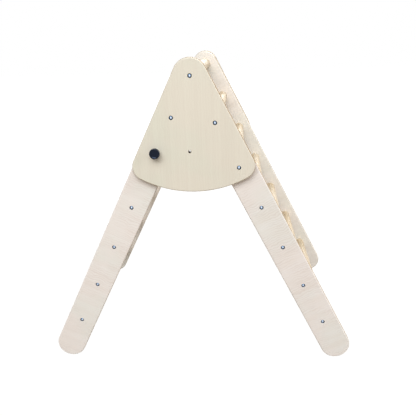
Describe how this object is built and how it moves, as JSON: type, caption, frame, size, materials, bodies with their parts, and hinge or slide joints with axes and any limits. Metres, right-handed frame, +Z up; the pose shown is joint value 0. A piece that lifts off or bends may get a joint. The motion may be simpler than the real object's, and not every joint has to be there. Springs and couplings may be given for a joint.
{
  "type": "folding climbing triangle",
  "caption": "Folding wooden climbing triangle: round rungs between round-ended plywood legs, side plates over the fold and screw-in lock knobs.",
  "frame": {"origin": "on the floor under the apex rung, midway between the two sides", "axes": "+X towards the main ladder's feet, +Y from the near side plate to the far one, +Z up"},
  "size_m": [0.799, 0.6368, 0.7905],
  "materials": {
    "plate_plywood": "matt lacquered birch plywood, upright grain",
    "leg_plywood": "matt lacquered birch plywood, grain across the leg",
    "beech_rung": "smooth lacquered dowel",
    "zinc_steel": "bright zinc plated",
    "brass_insert": "turned",
    "black_plastic": "satin moulded"
  },
  "bodies": {
    "main_ladder_and_plates": {"near_main_leg": "leg_plywood", "near_side_plate": "plate_plywood", "near_plate_bolt_1": "zinc_steel", "near_plate_bolt_2": "zinc_steel", "near_plate_bolt_3": "zinc_steel", "near_main_leg_bolt_4": "zinc_steel", "near_main_leg_bolt_5": "zinc_steel", "near_main_leg_bolt_6": "zinc_steel", "near_main_leg_bolt_7": "zinc_steel", "far_main_leg": "leg_plywood", "far_side_plate": "plate_plywood", "far_plate_bolt_1": "zinc_steel", "far_plate_bolt_2": "zinc_steel", "far_plate_bolt_3": "zinc_steel", "far_main_leg_bolt_4": "zinc_steel", "far_main_leg_bolt_5": "zinc_steel", "far_main_leg_bolt_6": "zinc_steel", "far_main_leg_bolt_7": "zinc_steel", "main_rung_1": "beech_rung", "main_rung_2": "beech_rung", "main_rung_3": "beech_rung", "main_rung_4": "beech_rung", "main_rung_5": "beech_rung", "main_rung_6": "beech_rung", "main_rung_7": "beech_rung"},
    "folding_ladder": {"near_folding_leg": "leg_plywood", "near_pivot_bolt": "zinc_steel", "near_folding_leg_bolt_2": "zinc_steel", "near_folding_leg_bolt_3": "zinc_steel", "near_folding_leg_bolt_4": "zinc_steel", "near_folding_leg_bolt_5": "zinc_steel", "near_folding_leg_bolt_6": "zinc_steel", "near_lock_insert": "brass_insert", "far_folding_leg": "leg_plywood", "far_pivot_bolt": "zinc_steel", "far_folding_leg_bolt_2": "zinc_steel", "far_folding_leg_bolt_3": "zinc_steel", "far_folding_leg_bolt_4": "zinc_steel", "far_folding_leg_bolt_5": "zinc_steel", "far_folding_leg_bolt_6": "zinc_steel", "far_lock_insert": "brass_insert", "folding_rung_1": "beech_rung", "folding_rung_2": "beech_rung", "folding_rung_3": "beech_rung", "folding_rung_4": "beech_rung", "folding_rung_5": "beech_rung", "folding_rung_6": "beech_rung"},
    "near_lock_carrier": {"near_lock_washer": "zinc_steel"},
    "near_lock_handle": {"near_lock_knob": "black_plastic", "near_lock_stud": "zinc_steel"},
    "far_lock_carrier": {"far_lock_washer": "zinc_steel"},
    "far_lock_handle": {"far_lock_knob": "black_plastic", "far_lock_stud": "zinc_steel"}
  },
  "joints": [
    {"name": "ladder_fold", "type": "hinge", "parent": "main_ladder_and_plates", "child": "folding_ladder", "pos_m": [-0.04726, 0, 0.65738], "axis": [0, -1, 0], "range_deg": [0, 53.8]},
    {"name": "near_lock_slide", "type": "slide", "parent": "main_ladder_and_plates", "child": "near_lock_carrier", "axis": [0, -1, 0], "range_m": [-0.006, 0.016]},
    {"name": "near_lock_turn", "type": "hinge", "parent": "near_lock_carrier", "child": "near_lock_handle", "pos_m": [-0.08785, -0.2973, 0.57739], "axis": [0, -1, 0], "continuous": true},
    {"name": "far_lock_slide", "type": "slide", "parent": "main_ladder_and_plates", "child": "far_lock_carrier", "axis": [0, 1, 0], "range_m": [-0.006, 0.016]},
    {"name": "far_lock_turn", "type": "hinge", "parent": "far_lock_carrier", "child": "far_lock_handle", "pos_m": [-0.08785, 0.2973, 0.57739], "axis": [0, 1, 0], "continuous": true}
  ]
}
